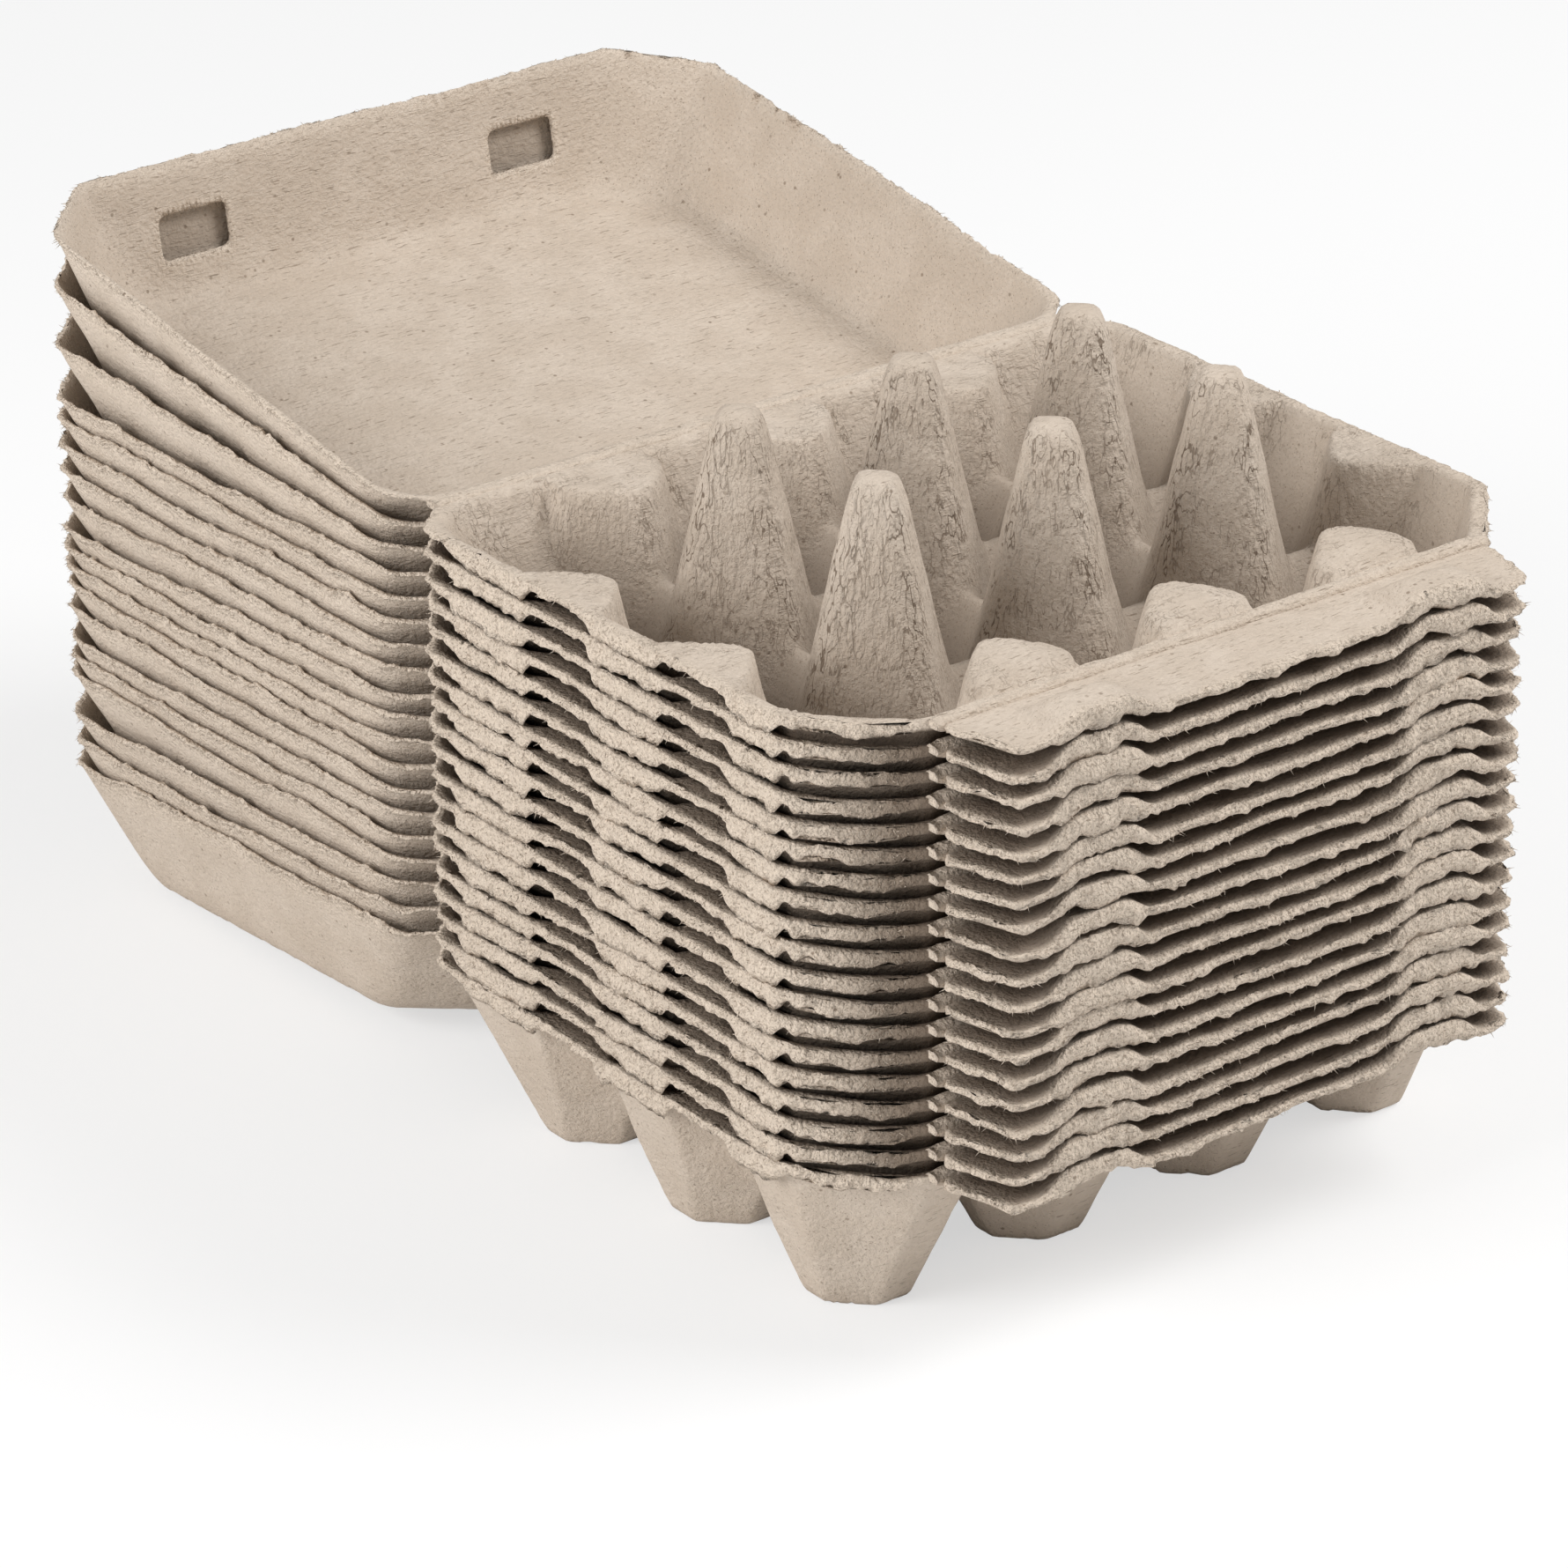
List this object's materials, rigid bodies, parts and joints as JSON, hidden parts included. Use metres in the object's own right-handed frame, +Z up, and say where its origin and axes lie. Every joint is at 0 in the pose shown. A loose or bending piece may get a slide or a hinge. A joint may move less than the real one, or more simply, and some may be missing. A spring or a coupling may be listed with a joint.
{
  "type": "stack of egg cartons",
  "caption": "Stack of nested moulded-pulp egg cartons lying open: trays of egg cells with tapered posts, hinged lids with latch windows, and locking flaps.",
  "frame": {"origin": "middle of the stack's outline at the level it stands on", "axes": "+X along the hinges, +Y from the flaps towards the lids, +Z up"},
  "size_m": [0.199, 0.3436, 0.1754],
  "materials": {
    "pulp": "matte moulded pulp with short fibres and specks"
  },
  "bodies": {
    "stack": {"carton_01": "pulp", "carton_02": "pulp", "carton_03": "pulp", "carton_04": "pulp", "carton_05": "pulp", "carton_06": "pulp", "carton_07": "pulp", "carton_08": "pulp", "carton_09": "pulp", "carton_10": "pulp", "carton_11": "pulp", "carton_12": "pulp", "carton_13": "pulp", "carton_14": "pulp", "carton_15": "pulp", "carton_16": "pulp", "carton_17": "pulp", "carton_18": "pulp", "top_tray": "pulp"},
    "lid": {"top_lid": "pulp"},
    "flap": {"top_flap": "pulp"}
  },
  "joints": [
    {"name": "lid_hinge", "type": "hinge", "parent": "stack", "child": "lid", "pos_m": [0, 0.00725, 0.14563], "axis": [1, 0, 0], "range_deg": [0, 170.8]},
    {"name": "flap_crease", "type": "hinge", "parent": "stack", "child": "flap", "pos_m": [0, -0.15125, 0.14563], "axis": [-1, 0, 0], "range_deg": [0, 114]}
  ]
}
